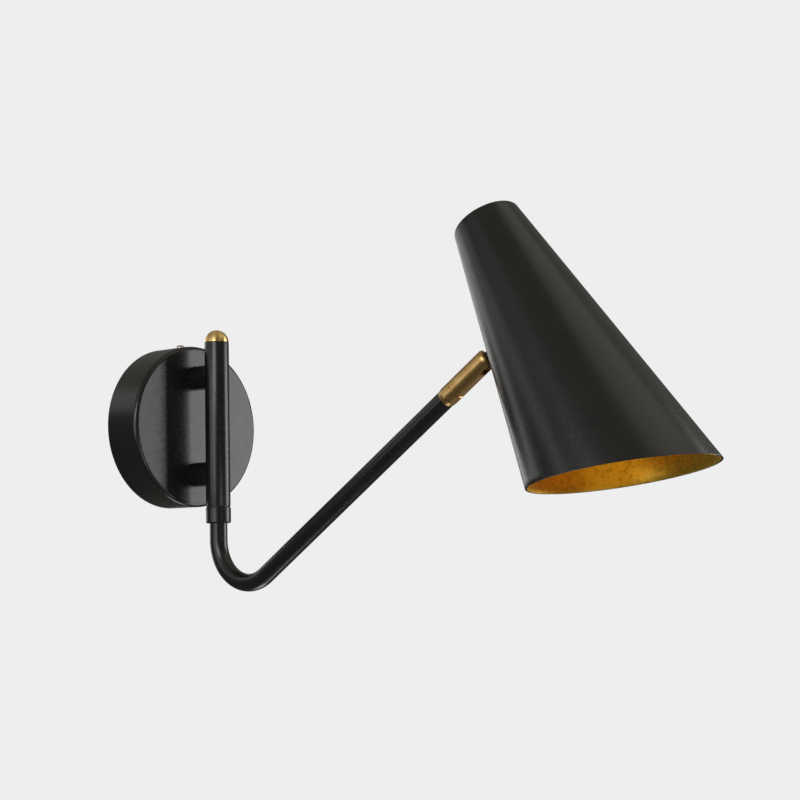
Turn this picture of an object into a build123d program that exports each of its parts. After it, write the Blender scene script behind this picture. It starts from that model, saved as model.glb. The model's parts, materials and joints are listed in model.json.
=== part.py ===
from build123d import *
import os
from math import asin, cos, degrees, radians, sin, sqrt, tan

# Swing-arm wall sconce. Millimetres, +Z up. The wall is the plane Y = 0, the light stands out towards -Y,
# and the origin is the middle of the canopy's back. At rest the arm points straight out from the wall.

# Fits
running_gap = 0.05
seat_gap = 0.02
thread_gap = 0.05
screw_play = 0.2

# Canopy and the bracket behind it
canopy_diameter = 120.0
canopy_depth = 31.0
canopy_wall = 1.2
canopy_edge_radius = 3.0
bracket_width = 20.0
bracket_thickness = 2.0
bracket_bend_radius = 3.0
ear_depth = 20.0
ear_gap = 0.3
wall_slot_spacing = 80.0
wall_slot_length = 14.0
wall_slot_width = 4.5
cable_hole_diameter = 12.0
rim_screw_diameter = 4.0
rim_screw_head_diameter = 6.4
rim_screw_head_height = 2.4
rim_screw_head_rounding = 1.9
rim_screw_cross_span = 3.2
rim_screw_cross_width = 0.7
rim_screw_cross_depth = 1.2
rim_screw_length = 8.0
rim_screw_from_wall = 13.0
earth_screw_diameter = 4.0
earth_screw_head_diameter = 7.0
earth_screw_head_height = 2.4
earth_screw_head_rounding = 1.2
earth_screw_slot_width = 1.0
earth_screw_slot_depth = 0.8
earth_screw_x = 6.0
earth_screw_drop = 18.0

# Terminal block
block_width = 26.0
block_height = 18.0
block_depth = 12.0
block_rise = 19.0
block_corner_radius = 1.5
pole_count = 3
pole_pitch = 8.0
pole_row_pitch = 10.0
pole_slit = 1.0
pole_slit_depth = 3.0
pole_screw_diameter = 3.2
pole_screw_length = 5.5
pole_screw_sink = 0.6
pole_screw_slot = 0.7
pole_screw_slot_depth = 0.8
wire_hole_diameter = 3.8
wire_hole_depth = 4.0
wire_hole_from_bracket = 4.5

# Standoffs
standoff_diameter = 18.0
standoff_spacing = 72.0
standoff_reach = 22.0
saddle_tip_from_axis = 3.0
tail_diameter = 10.0
tail_length = 12.0
standoff_washer_diameter = 17.0
standoff_washer_thickness = 1.2
standoff_nut_across_flats = 14.0
standoff_nut_height = 4.0

# Leads
base_lead_diameter = 3.6
base_lead_bend_radius = 8.0
base_lead_bore = 4.4
arm_lead_diameter = 3.6
shade_lead_diameter = 2.4
lead_play = 0.3

# Pivot tube and bushes
tube_diameter = 18.0
tube_wall = 1.5
tube_rise = 61.0
tube_drop = 60.0
bush_length = 12.0
bush_recess = 1.2
thrust_washer_thickness = 0.8
swing_washer_thickness = 0.6
swing_washer_margin = 0.3
finial_diameter = 17.6
finial_lift = 0.3
finial_boss_gap = 0.3
finial_spigot_length = 12.0

# Swing stop
swing_limit = 85.0
swing_margin = 1.5
stop_crown_height = 4.0
stop_pin_diameter = 3.0
stop_pin_end_gap = 0.3
window_height = 8.0

# Arm
arm_diameter = 13.0
arm_wall = 1.5
collar_diameter = 18.4
collar_height = 12.0
collar_chamfer = 0.8
set_screw_diameter = 4.0
set_screw_sink = 0.4
set_screw_key = 2.0
set_screw_key_depth = 1.2
leg_below_collar = 12.2
bend_radius = 31.6
arm_rise = 33.4
arm_straight = 208.0

# Brass knuckle
knuckle_diameter = 14.0
ferrule_length = 11.0
ferrule_taper = 3.0
knuckle_groove = 0.5
fork_length = 35.5
fork_tip_radius = 4.0
fork_slot_width = 6.0
fork_slot_depth = 12.0
nipple_insert = 14.0
nipple_thread_diameter = 8.0
nipple_thread_length = 9.0
pin_diameter = 4.0
pin_from_tip = 7.0
pin_flush = 0.05
pin_tip_gap = 0.2

# Tongue and stud on the shade
tongue_thickness = 4.8
tongue_height = 9.0
friction_washer_thickness = 0.5
pin_to_shade = 14.1
flange_diameter = 16.0
flange_from_pin = 10.5
stud_diameter = 8.0
stud_spare_thread = 1.5
saddle_diameter = 18.0
saddle_thickness = 3.0
stud_nut_across_flats = 13.0
stud_nut_height = 4.0

# Shade
shade_top_diameter = 45.6
shade_half_angle = 10.1
shade_length = 200.0
shade_cut_angle = 21.6
shade_wall = 1.0
shade_edge_radius = 2.5
shade_tilt = 30.4
stud_below_top = 80.4
lining_thickness = 0.3
lining_gap = 0.3
lining_setback = 0.8

# Lampholder and bulb
holder_bracket_below_top = 45.0
holder_bracket_width = 16.0
holder_bracket_thickness = 1.6
holder_bracket_bend_radius = 4.0
holder_bracket_end = 9.0
holder_nipple_diameter = 10.0
holder_nipple_bore = 7.0
holder_nipple_above = 8.0
holder_nipple_below = 9.0
nipple_nut_across_flats = 14.0
nipple_nut_height = 4.0
holder_diameter = 25.0
holder_wall = 1.3
holder_cap_height = 16.0
holder_cap_shoulder = 4.0
holder_cap_spigot = 3.0
holder_body_height = 30.0
holder_floor = 3.0
shell_bore_diameter = 14.3
shell_wall = 0.6
shell_margin = 2.0
contact_diameter = 6.0
contact_thickness = 1.4
bulb_cap_diameter = 13.9
bulb_cap_show = 0.8
bulb_tip_diameter = 4.8
bulb_tip_height = 1.5
bulb_shoulder = 3.0
globe_diameter = 45.0
globe_neck_diameter = 17.0
bulb_length = 78.0
globe_neck_blend = 6.0
globe_shoulder_angle = 40.0
shade_lead_from_axis = 20.0
shade_lead_above_bracket = 15.0
shade_lead_stud_bend = 4.0
shade_lead_top_bend = 8.0

# Places worked out from the sizes above
canopy_radius = canopy_diameter / 2
canopy_inner_radius = canopy_radius - canopy_wall
ear_height = sqrt((canopy_inner_radius - ear_gap) ** 2 - (bracket_width / 2) ** 2)
pivot_out = canopy_depth + standoff_reach
tube_radius = tube_diameter / 2
tube_bore_radius = tube_radius - tube_wall
arm_radius = arm_diameter / 2
arm_bore_radius = arm_radius - arm_wall
bush_outer_radius = tube_bore_radius - seat_gap
bush_bore_radius = arm_radius + running_gap
standoff_height = standoff_spacing / 2
upper_bush_top = tube_rise - bush_recess
spindle_top = upper_bush_top + running_gap + thrust_washer_thickness
lower_bush_top = bush_length - tube_drop
stop_pin_height = lower_bush_top + stop_crown_height / 2
collar_top = -tube_drop - running_gap - swing_washer_thickness
collar_bottom = collar_top - collar_height
bend_start = collar_bottom - leg_below_collar
pole_rows = [(pole - (pole_count - 1) / 2) * pole_pitch for pole in range(pole_count)]

wall_bearing = 90.0
pivot_axis = Axis((0, -pivot_out, 0), (0, 0, 1))
# Half sections round the pivot axis: local x is the radius, local y is the height
pivot_section = Plane(origin=(0, -pivot_out, 0), x_dir=(1, 0, 0), z_dir=(0, -1, 0))


def pivot_section_at(bearing):
    """The same half section, turned about the pivot axis to a bearing counted from +X towards the wall."""
    toward = radians(bearing)
    return Plane(
        origin=pivot_section.origin,
        x_dir=(cos(toward), sin(toward), 0),
        z_dir=(sin(toward), -cos(toward), 0),
    )


# Looking at the arm from its left: local x runs out from the pivot, local y is up
arm_side = Plane(origin=(0, -pivot_out, 0), x_dir=(0, -1, 0), z_dir=(-1, 0, 0))

# The arm's upper end, where the ferrule starts, and the knuckle's own frame with local z along the arm
rise_cos = cos(radians(arm_rise))
rise_sin = sin(radians(arm_rise))
arm_end = (
    bend_radius * (1 + rise_sin) + arm_straight * rise_cos,
    bend_start - bend_radius * rise_cos + arm_straight * rise_sin,
)
knuckle = Plane(
    origin=arm_side.from_local_coords((*arm_end, 0)), x_dir=(1, 0, 0), z_dir=(0, -rise_cos, rise_sin)
)
knuckle_axis = Axis(knuckle.origin, knuckle.z_dir)
# Half sections round the arm's straight run: local x is the radius, local y runs along the arm
knuckle_section = Plane(origin=knuckle.origin, x_dir=knuckle.x_dir, z_dir=-knuckle.y_dir)
knuckle_radius = knuckle_diameter / 2
fork_tip = ferrule_length + fork_length
fork_slot_floor = fork_tip - fork_slot_depth
pin_along_arm = fork_tip - pin_from_tip
pin_point = knuckle.from_local_coords((0, 0, pin_along_arm))
pin_plane = Plane(origin=pin_point, x_dir=knuckle.z_dir, z_dir=(1, 0, 0))

# The shade hangs on a stud square to its near wall
half_angle_tan = tan(radians(shade_half_angle))
half_angle_cos = cos(radians(shade_half_angle))
stud_angle = radians(shade_tilt - shade_half_angle)
stud_plane = Plane(origin=pin_point, x_dir=(1, 0, 0), z_dir=(0, -cos(stud_angle), sin(stud_angle)))
tongue_side = Plane(origin=pin_point, x_dir=stud_plane.z_dir, z_dir=(-1, 0, 0))
shade_out = Vector(0, -cos(radians(shade_tilt)), sin(radians(shade_tilt)))
shade_down = Vector(0, -sin(radians(shade_tilt)), -cos(radians(shade_tilt)))


def shade_radius(below_top, inset=0.0):
    """Radius of the cone that lies 'inset' inside the shade's outer wall, at a depth below its top."""
    return shade_top_diameter / 2 + half_angle_tan * below_top - inset / half_angle_cos


def cone_section(inset, top, bottom):
    """Half section of a solid cone 'inset' inside the shade's outer wall, between two depths."""
    return [(0, top), (shade_radius(top, inset), top), (shade_radius(bottom, inset), bottom), (0, bottom)]


stud_on_wall = stud_plane.from_local_coords((0, 0, pin_to_shade))
shade_top = stud_on_wall - shade_down * stud_below_top + shade_out * shade_radius(stud_below_top)
# Half sections of the shade: local x points outwards across the axis, local y runs down the axis
shade_section = Plane(origin=shade_top, x_dir=shade_out, z_dir=(1, 0, 0))
shade_axis = Axis(shade_top, shade_down)
shade_frame = Plane(origin=shade_top, x_dir=(1, 0, 0), z_dir=shade_down)
cut_angle = radians(shade_cut_angle)
shade_mouth = Plane(
    origin=shade_section.from_local_coords((0, shade_length, 0)),
    x_dir=(1, 0, 0),
    z_dir=shade_down * cos(cut_angle) - shade_out * sin(cut_angle),
)
# The cone runs past the deepest point of the slanted cut, on its far side
mouth_far_radius = shade_radius(shade_length) / (1 - half_angle_tan * tan(cut_angle))
cone_reach = shade_length + tan(cut_angle) * mouth_far_radius + shade_wall
lining_outer = shade_wall + lining_gap
lining_inner = lining_outer + lining_thickness
saddle_face = pin_to_shade + lining_inner + seat_gap + saddle_thickness
stud_end = saddle_face + holder_bracket_thickness + stud_nut_height + stud_spare_thread
holder_start = holder_bracket_below_top + holder_bracket_thickness / 2
holder_radius = holder_diameter / 2
holder_body_start = holder_start + holder_cap_height
holder_body_end = holder_body_start + holder_body_height
shell_outer_radius = shell_bore_diameter / 2 + shell_wall
bulb_start = holder_body_start + holder_floor + contact_thickness + seat_gap
bulb_cap_end = holder_body_end + bulb_cap_show
globe_radius = globe_diameter / 2
globe_middle = bulb_start + bulb_length - globe_radius

# Mounting bracket: a pressed steel strip with an ear at each end, the lower one with a locating peg
with BuildPart() as mounting_bracket:
    with BuildSketch(Plane.YZ):
        with BuildLine():
            Polyline(
                (0, -ear_height),
                (0, ear_height),
                (-ear_depth, ear_height),
                (-ear_depth, ear_height - bracket_thickness),
                (-bracket_thickness, ear_height - bracket_thickness),
                (-bracket_thickness, bracket_thickness - ear_height),
                (-ear_depth, bracket_thickness - ear_height),
                (-ear_depth, -ear_height),
                close=True,
            )
        strip = make_face()
        outer_bends = strip.vertices().group_by(Axis.X)[-1]
        inner_bends = strip.vertices().group_by(Axis.X)[-2]
        fillet(outer_bends, radius=bracket_bend_radius)
        fillet(inner_bends, radius=bracket_bend_radius - bracket_thickness)
    extrude(amount=bracket_width / 2, both=True)
    with BuildSketch(Plane.XZ):
        with GridLocations(0, wall_slot_spacing, 1, 2):
            SlotOverall(wall_slot_length, wall_slot_width, rotation=90)
        Circle(cable_hole_diameter / 2)
        with Locations((earth_screw_x, -earth_screw_drop)):
            Circle(earth_screw_diameter / 2 + thread_gap)
    extrude(amount=bracket_thickness, mode=Mode.SUBTRACT)
    with BuildSketch(Plane.XY.offset(ear_height)):
        with Locations((0, -rim_screw_from_wall)):
            Circle(rim_screw_diameter / 2 + thread_gap)
    extrude(amount=-bracket_thickness, mode=Mode.SUBTRACT)
    with BuildSketch(Plane.XY.offset(-ear_height)):
        with Locations((0, -rim_screw_from_wall)):
            Circle(rim_screw_diameter / 2)
    extrude(amount=ear_height + ear_gap - canopy_radius)

# Earth screw in the bracket, with a slotted head
with BuildPart() as earth_screw:
    with BuildSketch(Plane.XZ.offset(seat_gap)):
        with Locations((earth_screw_x, -earth_screw_drop)):
            Circle(earth_screw_diameter / 2)
    extrude(amount=bracket_thickness)
    with BuildSketch(Plane.XZ.offset(bracket_thickness + seat_gap)):
        with Locations((earth_screw_x, -earth_screw_drop)):
            Circle(earth_screw_head_diameter / 2)
    extrude(amount=earth_screw_head_height)
    head_rim = earth_screw.faces().sort_by(Axis.Y)[0].edges()
    fillet(head_rim, radius=earth_screw_head_rounding)
    with BuildSketch(Plane.XZ.offset(bracket_thickness + earth_screw_head_height + seat_gap)):
        with Locations((earth_screw_x, -earth_screw_drop)):
            Rectangle(earth_screw_head_diameter, earth_screw_slot_width)
    extrude(amount=-earth_screw_slot_depth, mode=Mode.SUBTRACT)

# Canopy: a spun steel cup, open at the wall, with a softly rounded front edge
with BuildPart() as canopy:
    with BuildSketch(Plane.XY):
        with BuildLine():
            Polyline(
                (0, -canopy_depth),
                (canopy_radius, -canopy_depth),
                (canopy_radius, 0),
                (canopy_inner_radius, 0),
                (canopy_inner_radius, canopy_wall - canopy_depth),
                (0, canopy_wall - canopy_depth),
                close=True,
            )
        cup = make_face()
        inner_point = (canopy_inner_radius, canopy_wall - canopy_depth, 0)
        front_corner = cup.vertices().sort_by_distance((canopy_radius, -canopy_depth, 0))[0]
        inner_corner = cup.vertices().sort_by_distance(inner_point)[0]
        fillet(front_corner, radius=canopy_edge_radius)
        fillet(inner_corner, radius=canopy_edge_radius - canopy_wall)
    revolve(axis=Axis.Y)
    with BuildSketch(Plane.XZ.offset(canopy_depth)):
        with GridLocations(0, standoff_spacing, 1, 2):
            Circle(tail_diameter / 2 + screw_play)
    extrude(amount=-canopy_wall, mode=Mode.SUBTRACT)
    with BuildSketch(Plane.XY):
        with Locations((0, -rim_screw_from_wall)):
            Circle(rim_screw_diameter / 2 + screw_play)
    extrude(amount=canopy_diameter, both=True, mode=Mode.SUBTRACT)

# Canopy screw: one domed screw down through the rim into the upper ear
with BuildPart() as canopy_screw:
    with BuildSketch(Plane.XY.offset(canopy_radius + seat_gap)):
        with Locations((0, -rim_screw_from_wall)):
            Circle(rim_screw_diameter / 2)
    extrude(amount=-rim_screw_length)
    with BuildSketch(Plane.XY.offset(canopy_radius + seat_gap)):
        with Locations((0, -rim_screw_from_wall)):
            Circle(rim_screw_head_diameter / 2)
    extrude(amount=rim_screw_head_height)
    head_rim = canopy_screw.faces().sort_by(Axis.Z)[-1].edges()
    fillet(head_rim, radius=rim_screw_head_rounding)
    with BuildSketch(Plane.XY.offset(canopy_radius + rim_screw_head_height + seat_gap)):
        with Locations((0, -rim_screw_from_wall)):
            Rectangle(rim_screw_cross_span, rim_screw_cross_width)
            Rectangle(rim_screw_cross_width, rim_screw_cross_span)
    extrude(amount=-rim_screw_cross_depth, mode=Mode.SUBTRACT)

# Terminal block: moulded strip on the bracket, slit between its poles
block_front = bracket_thickness + block_depth
with BuildPart() as terminal_block:
    with BuildSketch(Plane.XZ.offset(bracket_thickness)):
        with Locations((0, block_rise)):
            RectangleRounded(block_width, block_height, block_corner_radius)
    extrude(amount=block_depth)
    with BuildSketch(Plane.XZ.offset(block_front)):
        with Locations((0, block_rise)):
            with GridLocations(pole_pitch, 0, pole_count - 1, 1):
                Rectangle(pole_slit, block_height)
    extrude(amount=-pole_slit_depth, mode=Mode.SUBTRACT)
    with BuildSketch(Plane.XZ.offset(block_front)):
        with Locations((0, block_rise)):
            with GridLocations(pole_pitch, pole_row_pitch, pole_count, 2):
                Circle(pole_screw_diameter / 2 + thread_gap)
    extrude(amount=-pole_screw_length - pole_screw_sink, mode=Mode.SUBTRACT)
    for entry_height, inwards in ((block_rise - block_height / 2, 1), (block_rise + block_height / 2, -1)):
        with BuildSketch(Plane.XY.offset(entry_height)):
            with Locations(*[(x, -bracket_thickness - wire_hole_from_bracket) for x in pole_rows]):
                Circle(wire_hole_diameter / 2)
        extrude(amount=inwards * wire_hole_depth, mode=Mode.SUBTRACT)

# Terminal screws: slotted grub screws, two to a pole
with BuildPart() as terminal_screws:
    with BuildSketch(Plane.XZ.offset(block_front - pole_screw_sink)):
        with Locations((0, block_rise)):
            with GridLocations(pole_pitch, pole_row_pitch, pole_count, 2):
                Circle(pole_screw_diameter / 2)
    extrude(amount=-pole_screw_length)
    with BuildSketch(Plane.XZ.offset(block_front - pole_screw_sink)):
        with Locations((0, block_rise)):
            with GridLocations(pole_pitch, pole_row_pitch, pole_count, 2):
                Rectangle(pole_screw_diameter, pole_screw_slot)
    extrude(amount=-pole_screw_slot_depth, mode=Mode.SUBTRACT)


def make_standoff(height, bore_diameter):
    """A turned post with a threaded tail through the canopy and a saddle that fits round the tube."""
    with BuildPart() as standoff:
        with BuildSketch(Plane.XZ.offset(canopy_depth)):
            with Locations((0, height)):
                Circle(standoff_diameter / 2)
        extrude(amount=standoff_reach - saddle_tip_from_axis)
        with BuildSketch(Plane.XY.offset(height - standoff_diameter)):
            with Locations((0, -pivot_out)):
                Circle(tube_radius + seat_gap)
        extrude(amount=2 * standoff_diameter, mode=Mode.SUBTRACT)
        with BuildSketch(Plane.XZ.offset(canopy_depth)):
            with Locations((0, height)):
                Circle(tail_diameter / 2)
        extrude(amount=-tail_length)
        if bore_diameter:
            with BuildSketch(Plane.XZ.offset(canopy_depth - tail_length)):
                with Locations((0, height)):
                    Circle(bore_diameter / 2)
            extrude(amount=tail_length + standoff_reach, mode=Mode.SUBTRACT)
    return standoff


# Standoffs: the upper one is solid, the lower one lets the lead through
upper_standoff = make_standoff(standoff_height, 0)
lower_standoff = make_standoff(-standoff_height, base_lead_bore)

# Washers and nuts that hold the standoffs' tails inside the canopy
washer_back = canopy_depth - canopy_wall
with BuildPart() as standoff_washers:
    with BuildSketch(Plane.XZ.offset(washer_back)):
        with GridLocations(0, standoff_spacing, 1, 2):
            Circle(standoff_washer_diameter / 2)
            Circle(tail_diameter / 2 + screw_play, mode=Mode.SUBTRACT)
    extrude(amount=-standoff_washer_thickness)
with BuildPart() as standoff_nuts:
    with BuildSketch(Plane.XZ.offset(washer_back - standoff_washer_thickness)):
        with GridLocations(0, standoff_spacing, 1, 2):
            RegularPolygon(standoff_nut_across_flats / 2, 6, major_radius=False)
            Circle(tail_diameter / 2 + thread_gap, mode=Mode.SUBTRACT)
    extrude(amount=-standoff_nut_height)

# Pivot tube, with a hole at the lower standoff where the lead comes in
with BuildPart() as pivot_tube:
    with BuildSketch(Plane.XY.offset(-tube_drop)):
        with Locations((0, -pivot_out)):
            Circle(tube_radius)
            Circle(tube_bore_radius, mode=Mode.SUBTRACT)
    extrude(amount=tube_drop + tube_rise)
    with BuildSketch(Plane.XZ.offset(pivot_out)):
        with Locations((0, -standoff_height)):
            Circle(base_lead_bore / 2)
    extrude(amount=-tube_diameter, mode=Mode.SUBTRACT)

# Upper bush, a plain sleeve sunk a little below the tube's top
with BuildPart() as upper_bush:
    with BuildSketch(Plane.XY.offset(upper_bush_top)):
        with Locations((0, -pivot_out)):
            Circle(bush_outer_radius)
            Circle(bush_bore_radius, mode=Mode.SUBTRACT)
    extrude(amount=-bush_length)

# Lower bush, whose crown is cut away over the stop pin's travel
stop_sweep = swing_limit + swing_margin + degrees(asin(stop_pin_diameter / arm_diameter))
with BuildPart() as lower_bush:
    with BuildSketch(Plane.XY.offset(-tube_drop)):
        with Locations((0, -pivot_out)):
            Circle(bush_outer_radius)
            Circle(bush_bore_radius, mode=Mode.SUBTRACT)
    extrude(amount=bush_length + stop_crown_height)
    with BuildSketch(pivot_section_at(wall_bearing - stop_sweep)):
        with BuildLine():
            Polyline(
                (bush_bore_radius - arm_wall, lower_bush_top),
                (tube_radius, lower_bush_top),
                (tube_radius, lower_bush_top + stop_crown_height),
                (bush_bore_radius - arm_wall, lower_bush_top + stop_crown_height),
                close=True,
            )
        make_face()
    revolve(axis=pivot_axis, revolution_arc=2 * stop_sweep, mode=Mode.SUBTRACT)

# Lead in the canopy: from the terminal block down and out through the lower standoff
lead_from_wall = bracket_thickness + wire_hole_from_bracket
with BuildPart() as base_lead:
    with BuildLine(Plane.YZ) as base_route:
        FilletPolyline(
            (-lead_from_wall, block_rise - block_height / 2 + wire_hole_depth / 2),
            (-lead_from_wall, -standoff_height),
            (tube_bore_radius - pivot_out, -standoff_height),
            radius=base_lead_bend_radius,
        )
    with BuildSketch(Plane(origin=base_route.line @ 0, z_dir=base_route.line % 0)):
        Circle(base_lead_diameter / 2)
    sweep()

# Arm: one bent tube. Its upper leg is the spindle inside the pivot tube
window_sweep = swing_limit + swing_margin + degrees(asin(base_lead_bore / arm_diameter))
with BuildPart() as arm_tube:
    with BuildLine(arm_side):
        spindle_leg = Line((0, spindle_top), (0, bend_start))
        elbow = JernArc(spindle_leg @ 1, spindle_leg % 1, bend_radius, 90 + arm_rise)
        Line(elbow @ 1, knuckle.origin)
    with BuildSketch(Plane(origin=(0, -pivot_out, spindle_top), z_dir=(0, 0, -1))):
        Circle(arm_radius)
        Circle(arm_bore_radius, mode=Mode.SUBTRACT)
    sweep()
    with BuildSketch(pivot_section_at(wall_bearing - window_sweep)):
        with Locations((arm_radius - arm_wall / 2, -standoff_height)):
            Rectangle(2 * arm_wall, window_height)
    revolve(axis=pivot_axis, revolution_arc=2 * window_sweep, mode=Mode.SUBTRACT)
    with BuildSketch(Plane.XZ.offset(pivot_out)):
        with Locations((0, stop_pin_height)):
            Circle(stop_pin_diameter / 2 + seat_gap)
    extrude(amount=-arm_diameter, mode=Mode.SUBTRACT)

# Finial: a turned brass dome whose spigot screws into the top of the spindle
finial_skirt = tube_rise + finial_lift
with BuildPart() as finial:
    with BuildSketch(pivot_section):
        with BuildLine():
            Polyline(
                (0, finial_skirt + finial_diameter / 2),
                (0, spindle_top - finial_spigot_length),
                (arm_bore_radius - thread_gap, spindle_top - finial_spigot_length),
                (arm_bore_radius - thread_gap, spindle_top),
                (tube_bore_radius - finial_boss_gap, spindle_top),
                (tube_bore_radius - finial_boss_gap, finial_skirt),
                (finial_diameter / 2, finial_skirt),
            )
            CenterArc((0, finial_skirt), finial_diameter / 2, 0, 90)
        make_face()
    revolve(axis=pivot_axis)

# Washers that the arm turns on, under the finial and on the collar
with BuildPart() as thrust_washer:
    with BuildSketch(Plane.XY.offset(spindle_top)):
        with Locations((0, -pivot_out)):
            Circle(tube_bore_radius - swing_washer_margin)
            Circle(bush_bore_radius, mode=Mode.SUBTRACT)
    extrude(amount=-thrust_washer_thickness)
with BuildPart() as swing_washer:
    with BuildSketch(Plane.XY.offset(collar_top)):
        with Locations((0, -pivot_out)):
            Circle(tube_radius - swing_washer_margin)
            Circle(bush_bore_radius, mode=Mode.SUBTRACT)
    extrude(amount=swing_washer_thickness)

# Collar, chamfered at both ends, clamped on the arm by a set screw at the back
set_screw_height = collar_top - collar_height / 2
with BuildPart() as arm_collar:
    with BuildSketch(Plane.XY.offset(collar_top)):
        with Locations((0, -pivot_out)):
            Circle(collar_diameter / 2)
    extrude(amount=-collar_height)
    chamfer(arm_collar.edges().filter_by(GeomType.CIRCLE), length=collar_chamfer)
    with BuildSketch(Plane.XY.offset(collar_top)):
        with Locations((0, -pivot_out)):
            Circle(arm_radius + seat_gap)
    extrude(amount=-collar_height, mode=Mode.SUBTRACT)
    with BuildSketch(Plane.XZ.offset(pivot_out)):
        with Locations((0, set_screw_height)):
            Circle(set_screw_diameter / 2 + thread_gap)
    extrude(amount=-collar_diameter, mode=Mode.SUBTRACT)
set_screw_length = collar_diameter / 2 - set_screw_sink - arm_radius - seat_gap
with BuildPart() as collar_set_screw:
    with BuildSketch(Plane.XZ.offset(pivot_out - arm_radius - seat_gap)):
        with Locations((0, set_screw_height)):
            Circle(set_screw_diameter / 2)
    extrude(amount=-set_screw_length)
    with BuildSketch(Plane.XZ.offset(pivot_out - collar_diameter / 2 + set_screw_sink)):
        with Locations((0, set_screw_height)):
            RegularPolygon(set_screw_key / 2, 6, major_radius=False)
    extrude(amount=set_screw_key_depth, mode=Mode.SUBTRACT)

# Stop pin through the spindle's wall, running in the lower bush's cut-away crown
with BuildPart() as swing_stop_pin:
    with BuildSketch(Plane.XZ.offset(pivot_out - arm_bore_radius)):
        with Locations((0, stop_pin_height)):
            Circle(stop_pin_diameter / 2)
    extrude(amount=arm_bore_radius - tube_bore_radius + stop_pin_end_gap)

# Nipple: hollow steel insert in the arm's end that the brass pieces screw on to
nipple_bore = arm_lead_diameter / 2 + lead_play
nipple_end = ferrule_length + nipple_thread_length
with BuildPart() as arm_nipple:
    with BuildSketch(knuckle.offset(-nipple_insert)):
        Circle(arm_bore_radius - seat_gap)
    extrude(amount=nipple_insert)
    with BuildSketch(knuckle):
        Circle(nipple_thread_diameter / 2)
    extrude(amount=nipple_end)
    with BuildSketch(knuckle.offset(-nipple_insert)):
        Circle(nipple_bore)
    extrude(amount=nipple_insert + nipple_end, mode=Mode.SUBTRACT)

# Ferrule: brass ring that tapers down to the arm, with a fine groove where it meets the fork
nipple_hole = nipple_thread_diameter / 2 + thread_gap
with BuildPart() as knuckle_ferrule:
    with BuildSketch(knuckle_section):
        with BuildLine():
            Polyline(
                (nipple_hole, 0),
                (arm_radius, 0),
                (knuckle_radius, ferrule_taper),
                (knuckle_radius, ferrule_length - knuckle_groove),
                (knuckle_radius - knuckle_groove, ferrule_length),
                (nipple_hole, ferrule_length),
                close=True,
            )
        make_face()
    revolve(axis=knuckle_axis)

# Fork: brass bar with a rounded tip, slotted for the tongue and bored for the nipple, lead and pins
with BuildPart() as knuckle_fork:
    with BuildSketch(knuckle_section):
        with BuildLine():
            Polyline(
                (0, fork_tip),
                (0, ferrule_length),
                (knuckle_radius - knuckle_groove, ferrule_length),
                (knuckle_radius, ferrule_length + knuckle_groove),
                (knuckle_radius, fork_tip - fork_tip_radius),
            )
            CenterArc(
                (knuckle_radius - fork_tip_radius, fork_tip - fork_tip_radius), fork_tip_radius, 0, 90
            )
            Line((knuckle_radius - fork_tip_radius, fork_tip), (0, fork_tip))
        make_face()
    revolve(axis=knuckle_axis)
    with BuildSketch(knuckle.offset(ferrule_length)):
        Circle(nipple_hole)
    extrude(amount=nipple_thread_length + screw_play, mode=Mode.SUBTRACT)
    with BuildSketch(knuckle.offset(ferrule_length)):
        Circle(nipple_bore)
    extrude(amount=fork_length, mode=Mode.SUBTRACT)
    with BuildSketch(knuckle.offset(fork_slot_floor)):
        Rectangle(fork_slot_width, 2 * knuckle_diameter)
    extrude(amount=fork_slot_depth, mode=Mode.SUBTRACT)
    with BuildSketch(pin_plane):
        Circle(pin_diameter / 2 + seat_gap)
    extrude(amount=knuckle_diameter, both=True, mode=Mode.SUBTRACT)

# Pivot pins: two brass half pins pressed into the fork's cheeks and dressed flush with it
tongue_bore = shade_lead_diameter / 2 + lead_play
pin_inner_end = tongue_bore + pin_tip_gap
with BuildPart() as pivot_pins:
    for side in (1, -1):
        with BuildSketch(pin_plane.offset(side * pin_inner_end)):
            Circle(pin_diameter / 2)
        extrude(amount=side * knuckle_diameter)
    with BuildSketch(knuckle):
        Circle(knuckle_radius - pin_flush)
    extrude(amount=fork_tip, mode=Mode.INTERSECT)

# Lead in the arm, from the spindle's window to the floor of the fork's slot
with BuildPart() as arm_lead:
    with BuildLine(arm_side) as lead_route:
        lead_leg = Line((0, window_height / 2 - standoff_height), (0, bend_start))
        lead_elbow = JernArc(lead_leg @ 1, lead_leg % 1, bend_radius, 90 + arm_rise)
        Line(lead_elbow @ 1, knuckle.from_local_coords((0, 0, fork_slot_floor - lead_play)))
    with BuildSketch(Plane(origin=lead_route.line @ 0, z_dir=(0, 0, -1))):
        Circle(arm_lead_diameter / 2)
    sweep()

# Tongue: round-nosed bar on the pins, with a flange shaped to the cone and a hollow threaded stud
with BuildPart() as knuckle_tongue:
    with BuildSketch(stud_plane.offset(flange_from_pin)):
        Circle(flange_diameter / 2)
    extrude(amount=pin_to_shade)
    with BuildSketch(shade_section):
        with BuildLine():
            Polyline(*cone_section(-seat_gap, 0, shade_length), close=True)
        make_face()
    revolve(axis=shade_axis, mode=Mode.SUBTRACT)
    with BuildSketch(tongue_side):
        Circle(tongue_height / 2)
        with Locations((flange_from_pin / 2, 0)):
            Rectangle(flange_from_pin, tongue_height)
    extrude(amount=tongue_thickness / 2, both=True)
    with BuildSketch(stud_plane.offset(flange_from_pin)):
        Circle(stud_diameter / 2)
    extrude(amount=stud_end - flange_from_pin)
    with BuildSketch(stud_plane.offset(-tongue_height)):
        Circle(tongue_bore)
    extrude(amount=tongue_height + stud_end, mode=Mode.SUBTRACT)
    with BuildSketch(pin_plane):
        Circle(pin_diameter / 2 + running_gap)
    extrude(amount=tongue_thickness, both=True, mode=Mode.SUBTRACT)

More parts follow.
